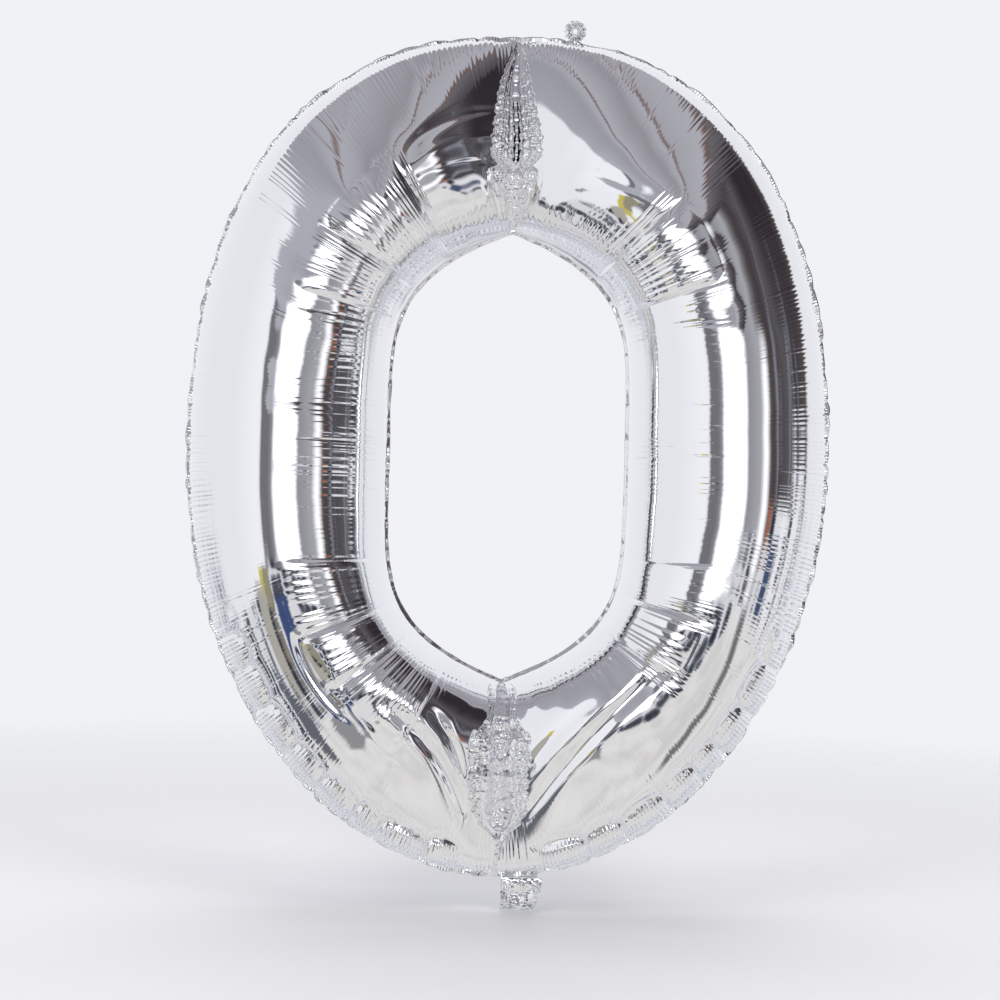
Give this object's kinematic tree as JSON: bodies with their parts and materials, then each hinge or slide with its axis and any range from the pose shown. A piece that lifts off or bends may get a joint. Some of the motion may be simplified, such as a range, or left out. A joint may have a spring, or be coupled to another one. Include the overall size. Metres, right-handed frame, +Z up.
{
  "type": "foil number balloon",
  "caption": "Inflated metallised film balloon shaped as a nought, with welded seams, an inflation tail, a self-closing film valve and a punched hanging tab.",
  "frame": {"origin": "the neck: the middle of the fold where the tail leaves the outer seam, where a ribbon is tied", "axes": "+Z up along the nought, +X to its right seen from the front, the front faces -Y"},
  "size_m": [0.658, 0.207, 0.9102],
  "materials": {
    "foil": "mirror-bright metallised film, finely creased",
    "seam": "heat-sealed metallised film, puckered",
    "clear_film": "clear limp film"
  },
  "bodies": {
    "envelope": {"front_foil": "foil", "back_foil": "foil", "outer_seam": "seam", "inner_seam": "seam", "valve_neck_front_film": "clear_film", "valve_neck_back_film": "clear_film"},
    "tail": {"tail_front_foil": "foil", "tail_back_foil": "foil", "tail_side_welds": "seam", "valve_inlet_front_film": "clear_film", "valve_inlet_back_film": "clear_film"},
    "tab": {"tab_front_foil": "foil", "tab_back_foil": "foil", "tab_weld": "seam"},
    "valve": {"valve_front_film": "clear_film", "valve_back_film": "clear_film", "valve_side_welds": "clear_film"}
  },
  "joints": [
    {"name": "tail_fold", "type": "hinge", "parent": "envelope", "child": "tail", "pos_m": [0, 0, 0], "axis": [1, 0, 0], "range_deg": [-80, 80]},
    {"name": "tab_fold", "type": "hinge", "parent": "envelope", "child": "tab", "pos_m": [0.03123, 0, 0.8619], "axis": [0.9924, 0, -0.1231], "range_deg": [-70, 70]},
    {"name": "valve_swing", "type": "hinge", "parent": "envelope", "child": "valve", "pos_m": [0, 0, 0.0173], "axis": [1, 0, 0], "range_deg": [-14, 14]}
  ]
}
